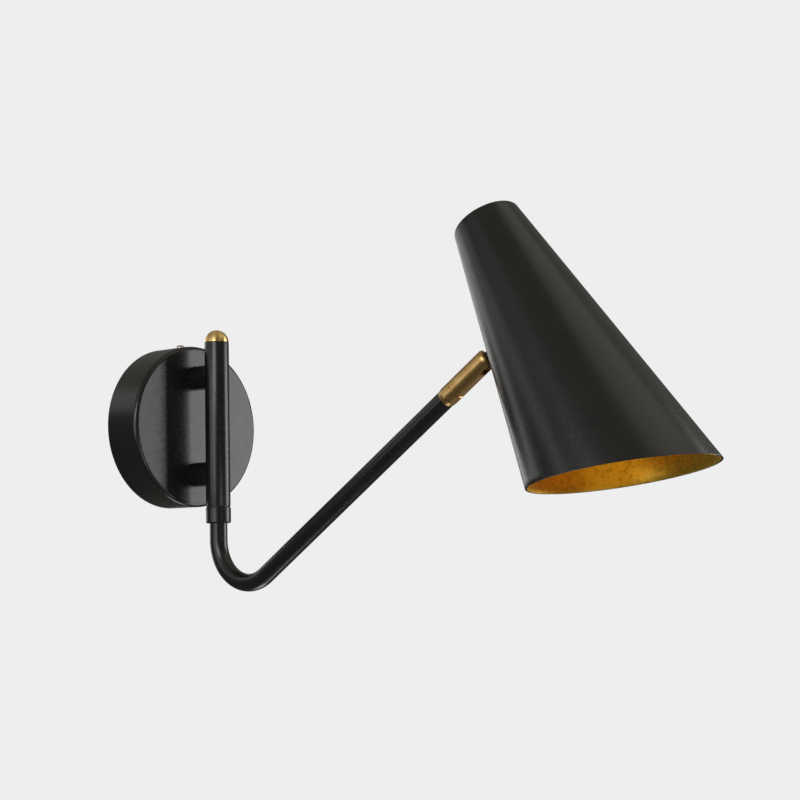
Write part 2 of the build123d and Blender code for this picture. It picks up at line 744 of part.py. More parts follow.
# Friction washers between the tongue and the fork's cheeks
with BuildPart() as friction_washers:
    for side in (1, -1):
        with BuildSketch(pin_plane.offset(side * tongue_thickness / 2)):
            Circle(tongue_height / 2)
            Circle(pin_diameter / 2 + screw_play, mode=Mode.SUBTRACT)
        extrude(amount=side * friction_washer_thickness)

# Shade: a spun cone, closed at the top and cut off at a slant at the mouth
with BuildPart() as shade:
    with BuildSketch(shade_section):
        with BuildLine():
            Polyline(
                (0, 0),
                (shade_radius(0), 0),
                (shade_radius(cone_reach), cone_reach),
                (shade_radius(cone_reach, shade_wall), cone_reach),
                (shade_radius(shade_wall, shade_wall), shade_wall),
                (0, shade_wall),
                close=True,
            )
        cone = make_face()
        inner_point = (shade_radius(shade_wall, shade_wall), shade_wall, 0)
        outer_edge = cone.vertices().sort_by_distance((shade_radius(0), 0, 0))[0]
        inner_edge = cone.vertices().sort_by_distance(inner_point)[0]
        fillet(outer_edge, radius=shade_edge_radius)
        fillet(inner_edge, radius=shade_edge_radius - shade_wall)
    revolve(axis=shade_axis)
    split(bisect_by=shade_mouth, keep=Keep.BOTTOM)
    with BuildSketch(stud_plane.offset(pin_to_shade - shade_wall)):
        Circle(stud_diameter / 2 + screw_play)
    extrude(amount=4 * shade_wall, mode=Mode.SUBTRACT)

# Lining: gold leaf over the whole inside of the shade, stopping just short of the rim
with BuildPart() as shade_lining:
    with BuildSketch(shade_section):
        with BuildLine():
            Polyline(
                (0, lining_outer),
                (shade_radius(lining_outer, lining_outer) - shade_edge_radius, lining_outer),
                (
                    shade_radius(lining_outer + shade_edge_radius, lining_outer),
                    lining_outer + shade_edge_radius,
                ),
                (shade_radius(cone_reach, lining_outer), cone_reach),
                (shade_radius(cone_reach, lining_inner), cone_reach),
                (
                    shade_radius(lining_inner + shade_edge_radius, lining_inner),
                    lining_inner + shade_edge_radius,
                ),
                (shade_radius(lining_inner, lining_inner) - shade_edge_radius, lining_inner),
                (0, lining_inner),
                close=True,
            )
        make_face()
    revolve(axis=shade_axis)
    split(bisect_by=shade_mouth.offset(-lining_setback), keep=Keep.BOTTOM)
    with BuildSketch(stud_plane.offset(pin_to_shade)):
        Circle(stud_diameter / 2 + screw_play)
    extrude(amount=4 * shade_wall, mode=Mode.SUBTRACT)

# Saddle washer: rounded on one side to the inside of the cone, flat on the other for the bracket
with BuildPart() as saddle_washer:
    with BuildSketch(stud_plane.offset(pin_to_shade)):
        Circle(saddle_diameter / 2)
    extrude(amount=saddle_face - pin_to_shade)
    with BuildSketch(shade_section):
        with BuildLine():
            Polyline(*cone_section(lining_inner + seat_gap, 0, shade_length), close=True)
        make_face()
    revolve(axis=shade_axis, mode=Mode.INTERSECT)
    with BuildSketch(stud_plane.offset(pin_to_shade)):
        Circle(stud_diameter / 2 + screw_play)
    extrude(amount=2 * saddle_thickness, mode=Mode.SUBTRACT)

# Holder bracket: a bent strip under the stud's nut that reaches up and across to the shade's axis
bracket_line = saddle_face + holder_bracket_thickness / 2
bracket_low = tongue_side.from_local_coords((bracket_line, -holder_bracket_width / 2, 0))
bracket_stud = shade_section.to_local_coords(bracket_low)
bracket_climb = bracket_stud.Y - holder_bracket_below_top
bracket_corner = (bracket_stud.X + half_angle_tan * bracket_climb, holder_bracket_below_top)
with BuildPart() as holder_bracket:
    with BuildSketch(shade_section):
        with BuildLine():
            FilletPolyline(
                (bracket_stud.X, bracket_stud.Y),
                bracket_corner,
                (holder_bracket_end, holder_bracket_below_top),
                radius=holder_bracket_bend_radius,
            )
        trace(line_width=holder_bracket_thickness)
    extrude(amount=holder_bracket_width / 2, both=True)
    with BuildSketch(stud_plane.offset(saddle_face - screw_play)):
        Circle(stud_diameter / 2 + screw_play)
    extrude(amount=2 * holder_bracket_thickness, mode=Mode.SUBTRACT)
    with BuildSketch(shade_frame.offset(holder_start)):
        Circle(holder_nipple_diameter / 2 + screw_play)
        with Locations((0, -shade_lead_from_axis)):
            Circle(shade_lead_diameter / 2 + lead_play)
    extrude(amount=-2 * holder_bracket_thickness, mode=Mode.SUBTRACT)

# Nut that clamps the stud, the saddle washer and the bracket to the shade
with BuildPart() as stud_nut:
    with BuildSketch(stud_plane.offset(saddle_face + holder_bracket_thickness + seat_gap)):
        RegularPolygon(stud_nut_across_flats / 2, 6, major_radius=False)
        Circle(stud_diameter / 2 + thread_gap, mode=Mode.SUBTRACT)
    extrude(amount=stud_nut_height)

# Hollow nipple through the bracket, and the nut on top of it
nut_seat = holder_start - holder_bracket_thickness - seat_gap
with BuildPart() as holder_nipple:
    with BuildSketch(shade_frame.offset(holder_start - holder_nipple_above)):
        Circle(holder_nipple_diameter / 2)
        Circle(holder_nipple_bore / 2, mode=Mode.SUBTRACT)
    extrude(amount=holder_nipple_above + holder_nipple_below)
with BuildPart() as nipple_nut:
    with BuildSketch(shade_frame.offset(nut_seat)):
        RegularPolygon(nipple_nut_across_flats / 2, 6, major_radius=False)
        Circle(holder_nipple_diameter / 2 + thread_gap, mode=Mode.SUBTRACT)
    extrude(amount=-nipple_nut_height)

# Lampholder cap, screwed on to the nipple
nipple_thread_radius = holder_nipple_diameter / 2 + thread_gap
holder_inner_radius = holder_radius - holder_wall
with BuildPart() as lampholder_cap:
    with BuildSketch(shade_section):
        with BuildLine():
            Polyline(
                (nipple_thread_radius, holder_start + seat_gap),
                (holder_radius - holder_cap_shoulder, holder_start + seat_gap),
                (holder_radius, holder_start + holder_cap_shoulder),
                (holder_radius, holder_body_start),
                (holder_inner_radius, holder_body_start),
                (holder_inner_radius, holder_start + holder_cap_shoulder + holder_wall),
                (nipple_thread_radius + holder_wall, holder_start + holder_cap_shoulder + holder_wall),
                (nipple_thread_radius + holder_wall, holder_start + holder_nipple_below),
                (nipple_thread_radius, holder_start + holder_nipple_below),
                close=True,
            )
        make_face()
    revolve(axis=shade_axis)

# Lampholder body: a moulded cup with a spigot up into the cap and a floor for the centre contact
with BuildPart() as lampholder_body:
    with BuildSketch(shade_section):
        with BuildLine():
            Polyline(
                (0, holder_body_start - holder_cap_spigot),
                (holder_inner_radius - seat_gap, holder_body_start - holder_cap_spigot),
                (holder_inner_radius - seat_gap, holder_body_start + seat_gap),
                (holder_radius, holder_body_start + seat_gap),
                (holder_radius, holder_body_end),
                (shell_outer_radius + seat_gap, holder_body_end),
                (shell_outer_radius + seat_gap, holder_body_start + holder_floor),
                (0, holder_body_start + holder_floor),
                close=True,
            )
        make_face()
    revolve(axis=shade_axis)

# Brass screw shell and centre contact in the body
with BuildPart() as screw_shell:
    with BuildSketch(shade_frame.offset(holder_body_start + holder_floor)):
        Circle(shell_outer_radius)
        Circle(shell_bore_diameter / 2, mode=Mode.SUBTRACT)
    extrude(amount=holder_body_height - holder_floor - shell_margin)
with BuildPart() as centre_contact:
    with BuildSketch(shade_frame.offset(holder_body_start + holder_floor)):
        Circle(contact_diameter / 2)
    extrude(amount=contact_thickness)

# Bulb: screw cap with a contact tip, and an opal globe on it
bulb_cap_radius = bulb_cap_diameter / 2
with BuildPart() as bulb_cap:
    with BuildSketch(shade_section):
        with BuildLine():
            Polyline(
                (0, bulb_start),
                (bulb_tip_diameter / 2, bulb_start),
                (bulb_tip_diameter / 2, bulb_start + bulb_tip_height),
                (bulb_cap_radius, bulb_start + bulb_shoulder + bulb_tip_height),
                (bulb_cap_radius, bulb_cap_end),
                (0, bulb_cap_end),
                close=True,
            )
        make_face()
    revolve(axis=shade_axis)
globe_neck_radius = globe_neck_diameter / 2
globe_shoulder = (
    globe_radius * sin(radians(globe_shoulder_angle)),
    globe_middle - globe_radius * cos(radians(globe_shoulder_angle)),
)
globe_start = bulb_cap_end + seat_gap
with BuildPart() as bulb_globe:
    with BuildSketch(shade_section):
        with BuildLine():
            Polyline(
                (0, globe_middle + globe_radius),
                (0, globe_start),
                (globe_neck_radius, globe_start),
                globe_shoulder,
            )
            CenterArc(
                (0, globe_middle), globe_radius, globe_shoulder_angle - 90, 180 - globe_shoulder_angle
            )
        globe_half = make_face()
        shoulder_corner = globe_half.vertices().sort_by_distance((*globe_shoulder, 0))[0]
        fillet(shoulder_corner, radius=globe_neck_blend)
    revolve(axis=shade_axis)

# Lead in the shade: out of the stud, up through the bracket and over into the holder's nipple
lead_start = shade_section.to_local_coords(stud_plane.from_local_coords((0, 0, -tongue_height / 2)))
stud_line_depth = lead_start.Y + half_angle_tan * (-shade_lead_from_axis - lead_start.X)
lead_top = holder_bracket_below_top - shade_lead_above_bracket
with BuildPart() as shade_lead:
    with BuildLine(shade_section) as shade_route:
        FilletPolyline(
            (lead_start.X, lead_start.Y),
            (-shade_lead_from_axis, stud_line_depth),
            (-shade_lead_from_axis, lead_top),
            (0, lead_top),
            (0, holder_body_start - holder_cap_spigot - seat_gap),
            radius=[shade_lead_stud_bend, shade_lead_top_bend, shade_lead_top_bend],
        )
    with BuildSketch(Plane(origin=shade_route.line @ 0, z_dir=shade_route.line % 0)):
        Circle(shade_lead_diameter / 2)
    sweep()

pieces = {
    "mounting_bracket": mounting_bracket,
    "earth_screw": earth_screw,
    "canopy": canopy,
    "canopy_screw": canopy_screw,
    "terminal_block": terminal_block,
    "terminal_screws": terminal_screws,
    "upper_standoff": upper_standoff,
    "lower_standoff": lower_standoff,
    "standoff_washers": standoff_washers,
    "standoff_nuts": standoff_nuts,
    "pivot_tube": pivot_tube,
    "upper_bush": upper_bush,
    "lower_bush": lower_bush,
    "base_lead": base_lead,
    "arm_tube": arm_tube,
    "finial": finial,
    "thrust_washer": thrust_washer,
    "swing_washer": swing_washer,
    "arm_collar": arm_collar,
    "collar_set_screw": collar_set_screw,
    "swing_stop_pin": swing_stop_pin,
    "arm_nipple": arm_nipple,
    "knuckle_ferrule": knuckle_ferrule,
    "knuckle_fork": knuckle_fork,
    "pivot_pins": pivot_pins,
    "arm_lead": arm_lead,
    "knuckle_tongue": knuckle_tongue,
    "friction_washers": friction_washers,
    "shade": shade,
    "shade_lining": shade_lining,
    "saddle_washer": saddle_washer,
    "stud_nut": stud_nut,
    "holder_bracket": holder_bracket,
    "holder_nipple": holder_nipple,
    "nipple_nut": nipple_nut,
    "lampholder_cap": lampholder_cap,
    "lampholder_body": lampholder_body,
    "screw_shell": screw_shell,
    "centre_contact": centre_contact,
    "bulb_cap": bulb_cap,
    "bulb_globe": bulb_globe,
    "shade_lead": shade_lead,
}
os.makedirs("parts", exist_ok=True)
for name, piece in pieces.items():
    piece.part.label = name
    export_step(piece.part, f"parts/{name}.step")
print("tilt pin at", pin_point, "shade top at", shade_top)
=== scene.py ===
import bpy
import json
import numpy as np
from math import cos, pi, radians, sin, tan
from mathutils import Matrix, Vector


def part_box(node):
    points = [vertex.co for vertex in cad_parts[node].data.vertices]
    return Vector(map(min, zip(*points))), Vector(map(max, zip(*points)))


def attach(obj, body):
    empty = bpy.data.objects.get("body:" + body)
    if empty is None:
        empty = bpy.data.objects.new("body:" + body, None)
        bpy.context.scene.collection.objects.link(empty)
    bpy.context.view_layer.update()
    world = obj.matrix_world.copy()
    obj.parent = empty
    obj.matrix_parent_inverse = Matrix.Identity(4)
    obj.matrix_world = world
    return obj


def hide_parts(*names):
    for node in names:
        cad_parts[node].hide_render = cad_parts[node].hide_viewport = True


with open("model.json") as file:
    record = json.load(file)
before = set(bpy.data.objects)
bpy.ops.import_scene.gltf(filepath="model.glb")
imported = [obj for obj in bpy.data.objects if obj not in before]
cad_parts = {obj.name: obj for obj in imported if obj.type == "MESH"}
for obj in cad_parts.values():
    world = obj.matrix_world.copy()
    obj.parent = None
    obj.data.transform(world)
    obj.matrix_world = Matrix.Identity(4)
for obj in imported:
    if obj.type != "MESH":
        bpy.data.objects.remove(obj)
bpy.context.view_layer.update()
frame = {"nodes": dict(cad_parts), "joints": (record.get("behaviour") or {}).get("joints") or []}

# Bracket and earth screw
# A steel strip behind the canopy, pressed to shape with an ear at each end and screwed to the wall. The strip
# and the small fastenings of the whole light are bright zinc plated, which dries in faint cloudy spangles.
zinc_dull = (0.44, 0.44, 0.43)
zinc_bright = (0.64, 0.64, 0.62)


def new_finish(name, settings):
    """A material whose Principled shader has the given sockets set as constants."""
    finish = bpy.data.materials.new(name)
    finish.use_nodes = True
    shader = finish.node_tree.nodes["Principled BSDF"]
    for socket, value in settings.items():
        shader.inputs[socket].default_value = value
    return finish


def add_noise(finish, cells, detail=2.0, distortion=0.0, turn=(0.0, 0.0, 0.0), packed=(1.0, 1.0, 1.0)):
    """Noise with so many cells to the metre in the piece's own coordinates, which are turned first and then
    packed closer along each axis."""
    nodes, links = finish.node_tree.nodes, finish.node_tree.links
    own_point = nodes.new("ShaderNodeTexCoord")
    turning = nodes.new("ShaderNodeMapping")
    turning.inputs["Rotation"].default_value = turn
    packing = nodes.new("ShaderNodeMapping")
    packing.inputs["Scale"].default_value = packed
    noise = nodes.new("ShaderNodeTexNoise")
    noise.inputs["Scale"].default_value = cells
    noise.inputs["Detail"].default_value = detail
    noise.inputs["Distortion"].default_value = distortion
    links.new(own_point.outputs["Object"], turning.inputs["Vector"])
    links.new(turning.outputs["Vector"], packing.inputs["Vector"])
    links.new(packing.outputs["Vector"], noise.inputs["Vector"])
    return noise.outputs["Fac"]


def vary(finish, socket, pattern, values, places=(0.3, 0.7)):
    """Drives one of the shader's sockets: a ramp runs through the values, which are colours or greys, as the
    pattern rises through the places. Noise lies mostly between the two usual places."""
    nodes, links = finish.node_tree.nodes, finish.node_tree.links
    ramp = nodes.new("ShaderNodeValToRGB")
    stops = ramp.color_ramp.elements
    while len(stops) < len(values):
        stops.new(1.0)
    for stop, place, value in zip(stops, places, values):
        stop.position = place
        stop.color = (*value, 1.0) if isinstance(value, tuple) else (value, value, value, 1.0)
    links.new(pattern, ramp.inputs["Fac"])
    links.new(ramp.outputs["Color"], nodes["Principled BSDF"].inputs[socket])


def add_relief(finish, height, depth):
    """Fine relief on the surface: the height pattern, from 0 to 1, stands for so many metres."""
    nodes, links = finish.node_tree.nodes, finish.node_tree.links
    bump = nodes.new("ShaderNodeBump")
    bump.inputs["Strength"].default_value = 1.0
    bump.inputs["Distance"].default_value = depth
    links.new(height, bump.inputs["Height"])
    links.new(bump.outputs["Normal"], nodes["Principled BSDF"].inputs["Normal"])


def dress(finish, *nodes):
    """Gives CAD pieces this finish in place of the plain one that they came with."""
    for node in nodes:
        mesh = frame["nodes"][node].data
        mesh.materials.clear()
        mesh.materials.append(finish)


zinc_steel = new_finish("zinc_steel", {"Metallic": 1.0})
spangle = add_noise(zinc_steel, cells=260, detail=3.0)
vary(zinc_steel, "Base Color", spangle, (zinc_dull, zinc_bright))
vary(zinc_steel, "Roughness", spangle, (0.42, 0.28))
add_relief(zinc_steel, add_noise(zinc_steel, cells=1800), depth=0.00004)
dress(zinc_steel, "mounting_bracket", "earth_screw")

# Terminal block
# A white moulded block on the bracket where the supply meets the inner lead. It is moulded in one piece with
# slits between its poles, and slotted steel screws clamp the wires.
block_cream = (0.74, 0.73, 0.69)
block_white = (0.82, 0.81, 0.78)
block_moulding = new_finish("block_moulding", {"IOR": 1.5})
flow = add_noise(block_moulding, cells=90)
vary(block_moulding, "Base Color", flow, (block_cream, block_white))
vary(block_moulding, "Roughness", flow, (0.42, 0.52))
add_relief(block_moulding, add_noise(block_moulding, cells=2500), depth=0.00003)
dress(block_moulding, "terminal_block")
dress(zinc_steel, "terminal_screws")

# Canopy
# A cup spun from thin steel that hides the bracket, with a softly rounded front edge. It is powder coated in
# satin black, which leaves a very fine skin of ripples, and so is all the other black metal.
coat_cool = (0.0045, 0.0045, 0.0046)
coat_warm = (0.0070, 0.0068, 0.0063)
black_coat = new_finish("black_coat", {"IOR": 1.5})
vary(black_coat, "Base Color", add_noise(black_coat, cells=28, detail=3.0), (coat_cool, coat_warm))
vary(black_coat, "Roughness", add_noise(black_coat, cells=240), (0.25, 0.29))
add_relief(black_coat, add_noise(black_coat, cells=450), depth=0.0000012)
dress(black_coat, "canopy")

# Posts
# Two turned steel posts that carry the pivot tube. Each has a threaded tail through the canopy's face, and
# its other end is milled to a saddle that fits round the tube. They are coated black with the canopy.
post_radius = 0.009
post_spacing = 0.072
post_wire_bore = 0.0022
tail_radius = 0.005
tail_chamfer = 0.0006
thread_pitch = 0.0015
thread_depth = 0.0008
thread_blunt = 0.15
thread_steps = 12
saddle_clearance = 0.00002
saddle_innermost = 0.06
saddle_steps = 8
canopy_face = -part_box("canopy")[0].y
swing_joint = next(joint for joint in frame["joints"] if joint["name"] == "arm_swing")
pivot = np.array(swing_joint["pos_m"])
tube_radius = (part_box("pivot_tube")[1].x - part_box("pivot_tube")[0].x) / 2
outward = np.array((0.0, -1.0, 0.0))
across = np.array((1.0, 0.0, 0.0))
upward = np.array((0.0, 0.0, 1.0))


def turned(radius, along, origin, axis, start, count):
    """Rings of a turned piece: origin + along * axis + radius * (cos t * start + sin t * (axis x start)),
    with t going once round. Radius and along have a row to each ring, and one column or one to each of its
    points."""
    t = np.linspace(0.0, 2 * pi, count, endpoint=False)
    spoke = np.outer(np.cos(t), start) + np.outer(np.sin(t), np.cross(axis, start))
    radius, along = np.broadcast_arrays(radius, along)
    return origin + along[..., None] * axis + radius[..., None] * spoke


def skinned(name, rings, looped=False, crease=35.0):
    """A closed mesh over rings of points, with quads from each ring to the next. A looped one joins its last
    ring to its first; otherwise a fan to the middle closes each end. The faces point away from the space
    inside, and edges that turn by more than the crease, in degrees, stay sharp."""
    rows, count = rings.shape[:2]
    points = rings.reshape(-1, 3)
    number = np.arange(rows * count).reshape(rows, count)
    walk = np.vstack([number, number[:1]]) if looped else number
    beside = np.roll(walk, -1, axis=1)
    quads = np.stack([walk[:-1], beside[:-1], beside[1:], walk[1:]], axis=-1).reshape(-1, 4)
    fans = np.empty((0, 3), dtype=int)
    if not looped:
        first = np.full(count, len(points))
        points = np.vstack([points, rings[0].mean(axis=0), rings[-1].mean(axis=0)])
        fans = np.vstack([
            np.stack([first, beside[0], walk[0]], axis=-1),
            np.stack([first + 1, walk[-1], beside[-1]], axis=-1),
        ])
    triangles = np.vstack([quads[:, :3], quads[:, [0, 2, 3]], fans])
    a, b, c = np.moveaxis(points[triangles] - points.mean(axis=0), 1, 0)
    if np.einsum("ij,ij->", a, np.cross(b, c)) < 0:
        quads, fans = quads[:, ::-1], fans[:, ::-1]
    mesh = bpy.data.meshes.new(name)
    mesh.from_pydata(points.tolist(), [], quads.tolist() + fans.tolist())
    mesh.shade_smooth()
    mesh.set_sharp_from_angle(angle=radians(crease))
    piece = bpy.data.objects.new(name, mesh)
    bpy.context.scene.collection.objects.link(piece)
    return piece


def fit(piece, finish, slot, body, *nodes):
    """Gives a new piece its finish, and says which body it moves with and which CAD pieces it stands for."""
    piece.data.materials.append(finish)
    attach(piece, body)
    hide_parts(*nodes)


def post_rings(height, wire_bore, count=96):
    """From the tail's end to the tube. The thread's radius is the crest less a blunted triangle wave of
    along / pitch - t / (2 pi). The saddle lies at along = pivot - sqrt(tube^2 - x^2), with x across the
    post."""
    t = np.linspace(0.0, 2 * pi, count, endpoint=False)
    level = np.ones(count)
    tail_end = -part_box("upper_standoff")[1].y
    saddle_tip = -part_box("upper_standoff")[0].y
    bore_rows = [(wire_bore, canopy_face), (wire_bore, tail_end)] if wire_bore else []
    start_rows = np.array(bore_rows + [(tail_radius - tail_chamfer - thread_depth / 2, tail_end)])
    turns = round((canopy_face - tail_end) / thread_pitch)
    thread_along = np.linspace(tail_end, canopy_face, turns * thread_steps)[:, None]
    wave = np.abs((thread_along / thread_pitch - t / (2 * pi)) % 1.0 - 0.5) * 2
    blunted = np.clip((1 + 2 * thread_blunt) * wave - thread_blunt, 0.0, 1.0)
    chamfer = tail_radius - tail_chamfer + (thread_along - tail_end)
    thread_radius = np.minimum(tail_radius - thread_depth * blunted, chamfer)
    saddle_radius = post_radius * np.linspace(1.0, saddle_innermost, saddle_steps)[:, None] * level
    reach = (tube_radius + saddle_clearance) ** 2 - (saddle_radius * np.cos(t)) ** 2
    saddle_along = np.minimum(-pivot[1] - np.sqrt(reach), saddle_tip)
    radius = np.vstack([start_rows[:, :1] * level, thread_radius, post_radius * level, saddle_radius])
    along = np.vstack([start_rows[:, 1:] * level, thread_along * level, canopy_face * level, saddle_along])
    return turned(radius, along, height * upward, outward, across, count)


upper_post = skinned("upper_post", post_rings(post_spacing / 2, 0.0))
fit(upper_post, black_coat, "black_coat", "wall_base", "upper_standoff")
lower_post = skinned("lower_post", post_rings(-post_spacing / 2, post_wire_bore))
fit(lower_post, black_coat, "black_coat", "wall_base", "lower_standoff")

# Post nuts and washers
# A plain washer and a hexagon nut on each tail, inside the canopy, pull the post tight against its face. They
# are zinc-plated steel; the nut's corners are turned off at both ends.
nut_flats = 0.014
nut_bore = 0.00505
nut_chamfer_circle = 0.95
nut_chamfer_angle = radians(30)


def nut_rings(height, count=96, side_steps=18):
    """Round the wall of a nut: the bore, one end, the six sides and the other end. The sides' radius is the
    lesser of the hexagon's, half the flats / cos(t to the nearest flat), and that of a cone which starts
    inside each end."""
    t = np.linspace(0.0, 2 * pi, count, endpoint=False)
    near = -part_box("standoff_nuts")[1].y
    far = -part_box("standoff_nuts")[0].y
    hexagon = nut_flats / 2 / np.cos((t + pi / 6) % (pi / 3) - pi / 6)
    ease = (1 - np.cos(np.linspace(0.0, pi, side_steps))) / 2
    side_along = near + ease * (far - near)
    from_end = np.minimum(side_along - near, far - side_along)
    cone = nut_chamfer_circle * nut_flats / 2 + from_end / tan(nut_chamfer_angle)
    bore = np.full(count, nut_bore)
    radius = np.vstack([bore, np.minimum(hexagon, cone[:, None]), bore])
    along = np.concatenate([[near], side_along, [far]])[:, None]
    return turned(radius, along, height * upward, outward, across, count)


for label, height in (("upper_nut", post_spacing / 2), ("lower_nut", -post_spacing / 2)):
    nut = skinned(label, nut_rings(height), looped=True)
    fit(nut, zinc_steel, "zinc_steel", "wall_base", "standoff_nuts")
dress(zinc_steel, "standoff_washers")

# Canopy screw
# One domed screw with a cross recess goes down through the canopy's rim into the bracket's upper ear. It is
# nickel plated, a little warmer than the zinc inside.
nickel_dull = (0.56, 0.53, 0.49)
nickel_bright = (0.68, 0.66, 0.62)
nickel_plate = new_finish("nickel_plate", {"Metallic": 1.0})
handled = add_noise(nickel_plate, cells=700, detail=3.0)
vary(nickel_plate, "Base Color", handled, (nickel_dull, nickel_bright))
vary(nickel_plate, "Roughness", handled, (0.30, 0.20))
dress(nickel_plate, "canopy_screw")

# Pivot tube and bushes
# An upright steel tube between the posts, coated black, its ends eased. A nylon bush pressed into each end
# carries the arm's spindle.
tube_wall = 0.0015
tube_ease = 0.0004
tube_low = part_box("pivot_tube")[0].z
tube_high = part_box("pivot_tube")[1].z
pivot_foot = pivot * (1, 1, 0)
nylon_shade = (0.60, 0.58, 0.52)
nylon_light = (0.70, 0.68, 0.62)


def tube_rings(inner, outer, low, high, ease, count=128, corner_steps=5):
    """Round the wall of a tube: its section is a rectangle from inner to outer radius and low to high, whose
    four corners are quarter circles of the ease."""
    quarter = np.linspace(0.0, pi / 2, corner_steps)
    angle = (quarter + np.arange(4)[:, None] * pi / 2).ravel()
    middle_radius = np.repeat([outer - ease, inner + ease, inner + ease, outer - ease], corner_steps)
    middle_along = np.repeat([high - ease, high - ease, low + ease, low + ease], corner_steps)
    radius = (middle_radius + ease * np.cos(angle))[:, None]
    along = (middle_along + ease * np.sin(angle))[:, None]
    return turned(radius, along, pivot_foot, upward, across, count)


wall_rings = tube_rings(tube_radius - tube_wall, tube_radius, tube_low, tube_high, tube_ease)
spindle_tube = skinned("spindle_tube", wall_rings, looped=True)
fit(spindle_tube, black_coat, "black_coat", "wall_base", "pivot_tube")
nylon = new_finish("nylon", {"IOR": 1.53, "Subsurface Weight": 0.1, "Subsurface Scale": 0.001})
haze = add_noise(nylon, cells=300)
vary(nylon, "Base Color", haze, (nylon_shade, nylon_light))
vary(nylon, "Roughness", haze, (0.45, 0.55))
dress(nylon, "upper_bush", "lower_bush")

# Inner leads
# A round sheathed lead runs from the terminal block through the lower post into the arm, and on from the
# knuckle to the lampholder. Its dark sheath is a smooth flexible moulding.
sheath_dark = (0.018, 0.018, 0.019)
sheath_dusty = (0.03, 0.03, 0.031)
lead_sheath = new_finish("lead_sheath", {"IOR": 1.5})
dusting = add_noise(lead_sheath, cells=400)
vary(lead_sheath, "Base Color", dusting, (sheath_dark, sheath_dusty))
vary(lead_sheath, "Roughness", dusting, (0.45, 0.6))
dress(lead_sheath, "base_lead", "arm_lead", "shade_lead")

# Arm
# One steel tube, bent cold round a former and coated black, whose upper leg turns in the pivot tube. A set
# screw clamps a collar on the leg below the tube, with a black moulded washer between the two.
arm_radius = 0.0065
arm_wall = 0.0015
leg_below_collar = 0.0122
bend_radius = 0.0316
arm_rise = radians(33.4)
arm_straight = 0.208
bend_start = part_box("arm_collar")[0].z - leg_below_collar
moulding_black = (0.012, 0.012, 0.012)
moulding_sheen = (0.02, 0.02, 0.02)


def arm_path(bend_steps=64):
    """The arm's middle line and its tangent, in distance out from the pivot and height: down the leg, round
    an arc of the bend radius through a right angle plus the rise, then straight up along the rise."""
    swept = np.linspace(0.0, pi / 2 + arm_rise, bend_steps)
    arc = np.stack([bend_radius * (1 - np.cos(swept)), bend_start - bend_radius * np.sin(swept)], axis=-1)
    tangent = np.stack([np.sin(swept), -np.cos(swept)], axis=-1)
    top = np.array((0.0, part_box("arm_tube")[1].z))
    end = arc[-1] + arm_straight * tangent[-1]
    return np.vstack([top, arc, end]), np.vstack([tangent[0], tangent, tangent[-1]])


def swept_tube(path, tangent, inner, outer, count=96):
    """A tube along a path in the arm's upright plane: the outer circle carried from end to end and the inner
    one carried back. A ring is path + r * (cos t * normal + sin t * X)."""
    t = np.linspace(0.0, 2 * pi, count, endpoint=False)
    middle = pivot_foot + path[:, :1] * outward + path[:, 1:] * upward
    normal = tangent[:, 1:] * outward - tangent[:, :1] * upward
    spoke = np.cos(t)[:, None] * normal[:, None, :] + np.sin(t)[:, None] * across
    return np.concatenate([middle[:, None] + outer * spoke, (middle[:, None] + inner * spoke)[::-1]])


bent_arm = skinned("bent_arm", swept_tube(*arm_path(), arm_radius - arm_wall, arm_radius), looped=True)
fit(bent_arm, black_coat, "black_coat", "swing_arm", "arm_tube")
black_moulding = new_finish("black_moulding", {"IOR": 1.55})
sheen = add_noise(black_moulding, cells=350)
vary(black_moulding, "Base Color", sheen, (moulding_black, moulding_sheen))
vary(black_moulding, "Roughness", sheen, (0.28, 0.4))
dress(black_coat, "arm_collar")
dress(black_moulding, "swing_washer")
dress(zinc_steel, "collar_set_screw", "swing_stop_pin", "arm_nipple")

# Finial
# A brass dome that screws into the top of the spindle, over a nylon washer, and keeps the arm in the tube. It
# is turned and polished in the lathe, so its highlights stretch from foot to crown.
polished_deep = (0.80, 0.54, 0.20)
polished_pale = (0.90, 0.64, 0.27)
polish_grain = (1, 1, 160)
lathe_polish = {"Metallic": 1.0, "Anisotropic": 0.85, "Anisotropic Rotation": 0.25}
polished_brass = new_finish("polished_brass", lathe_polish)
warmth = add_noise(polished_brass, cells=180, detail=3.0)
vary(polished_brass, "Base Color", warmth, (polished_deep, polished_pale))
vary(polished_brass, "Roughness", warmth, (0.33, 0.28))
add_relief(polished_brass, add_noise(polished_brass, cells=30, packed=polish_grain), depth=0.000006)
dress(polished_brass, "finial")
dress(nylon, "thrust_washer")

# Knuckle
# A ferrule and a slotted fork, turned from brass bar and screwed on to the arm's end. They are brushed in
# fine rings in the lathe and darkened a little, and two half pins are dressed flush with the fork's cheeks.
tarnish_dark = (0.52, 0.31, 0.11)
tarnish_light = (0.68, 0.45, 0.185)
brush_grain = (1, 1, 120)
along_arm = (arm_rise - pi / 2, 0.0, 0.0)
antique_brass = new_finish("antique_brass", {"Metallic": 1.0})
tarnish = add_noise(antique_brass, cells=110, detail=4.0)
lathe_marks = add_noise(antique_brass, cells=40, turn=along_arm, packed=brush_grain)
vary(antique_brass, "Base Color", tarnish, (tarnish_dark, tarnish_light))
vary(antique_brass, "Roughness", tarnish, (0.38, 0.32))
add_relief(antique_brass, lathe_marks, depth=0.0000003)
dress(antique_brass, "knuckle_ferrule", "knuckle_fork", "pivot_pins")

# Tongue
# A round-nosed steel bar, coated black, that turns on the pins between two nylon washers and the fork's
# cheeks. Its flange is shaped to the cone, and its stud goes through the shade's wall.
dress(black_coat, "knuckle_tongue")
dress(nylon, "friction_washers")

